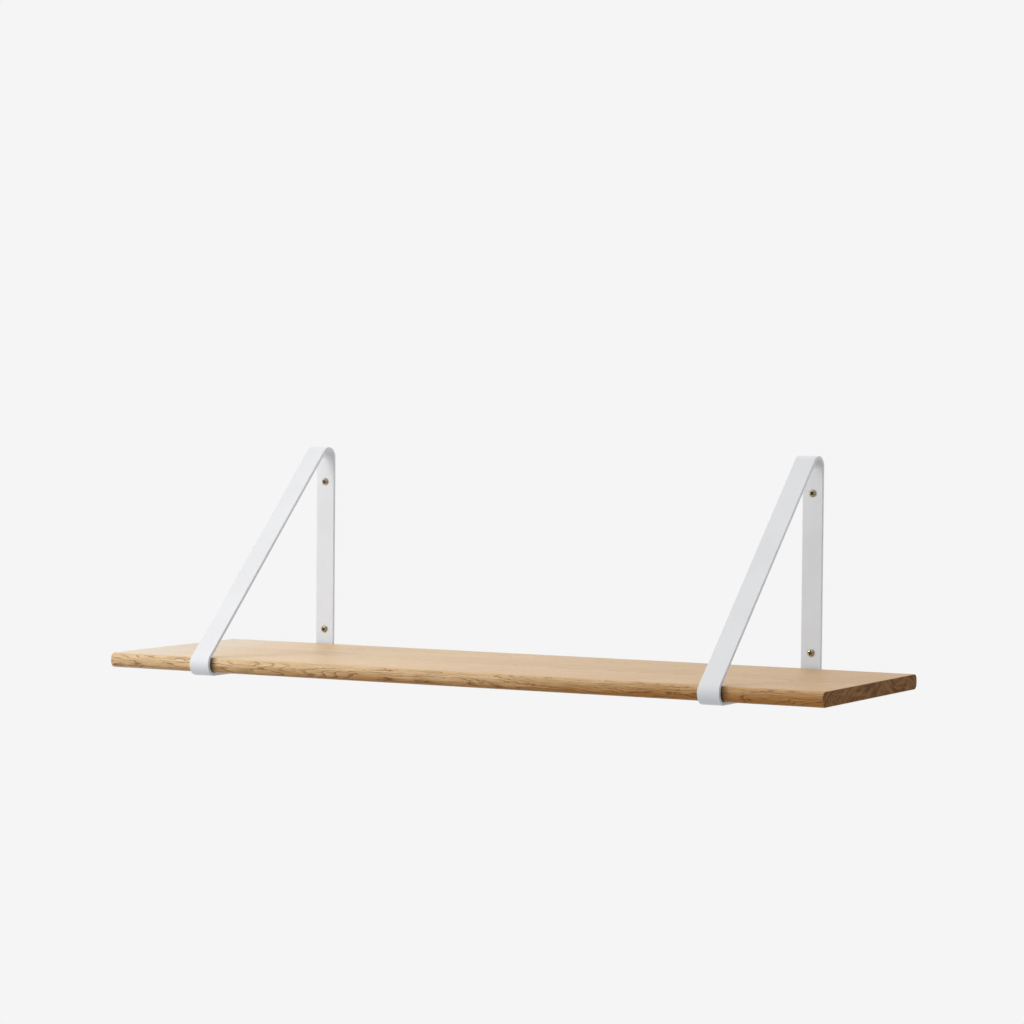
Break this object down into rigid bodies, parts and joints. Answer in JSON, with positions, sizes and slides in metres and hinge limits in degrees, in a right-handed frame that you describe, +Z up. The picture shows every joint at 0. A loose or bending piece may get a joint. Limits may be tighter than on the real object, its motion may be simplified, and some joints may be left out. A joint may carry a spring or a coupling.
{
  "type": "wall shelf with brackets",
  "caption": "Oak board lying loose in bent steel strap brackets that are screwed to a wall; holds books, plants and small things.",
  "frame": {"origin": "centre of the four wall screws, on the wall's surface", "axes": "+X to the right along the board, +Y into the wall, +Z up"},
  "size_m": [0.95, 0.328, 0.275],
  "materials": {
    "oak": "oiled, matt",
    "white_powder_coat": "fine matt powder coat",
    "yellow_zinc": "yellow zinc plating"
  },
  "bodies": {
    "brackets": {"bracket_left": "white_powder_coat", "bracket_right": "white_powder_coat", "wall_screw_left_upper": "yellow_zinc", "wall_screw_left_lower": "yellow_zinc", "wall_screw_right_upper": "yellow_zinc", "wall_screw_right_lower": "yellow_zinc"},
    "board": {"board_stave_1": "oak", "board_stave_2": "oak", "board_stave_3": "oak", "board_stave_4": "oak", "board_stave_5": "oak"}
  },
  "joints": [
    {"name": "board_slide", "type": "slide", "parent": "brackets", "child": "board", "axis": [1, 0, 0], "range_m": [-0.12, 0.12]}
  ]
}
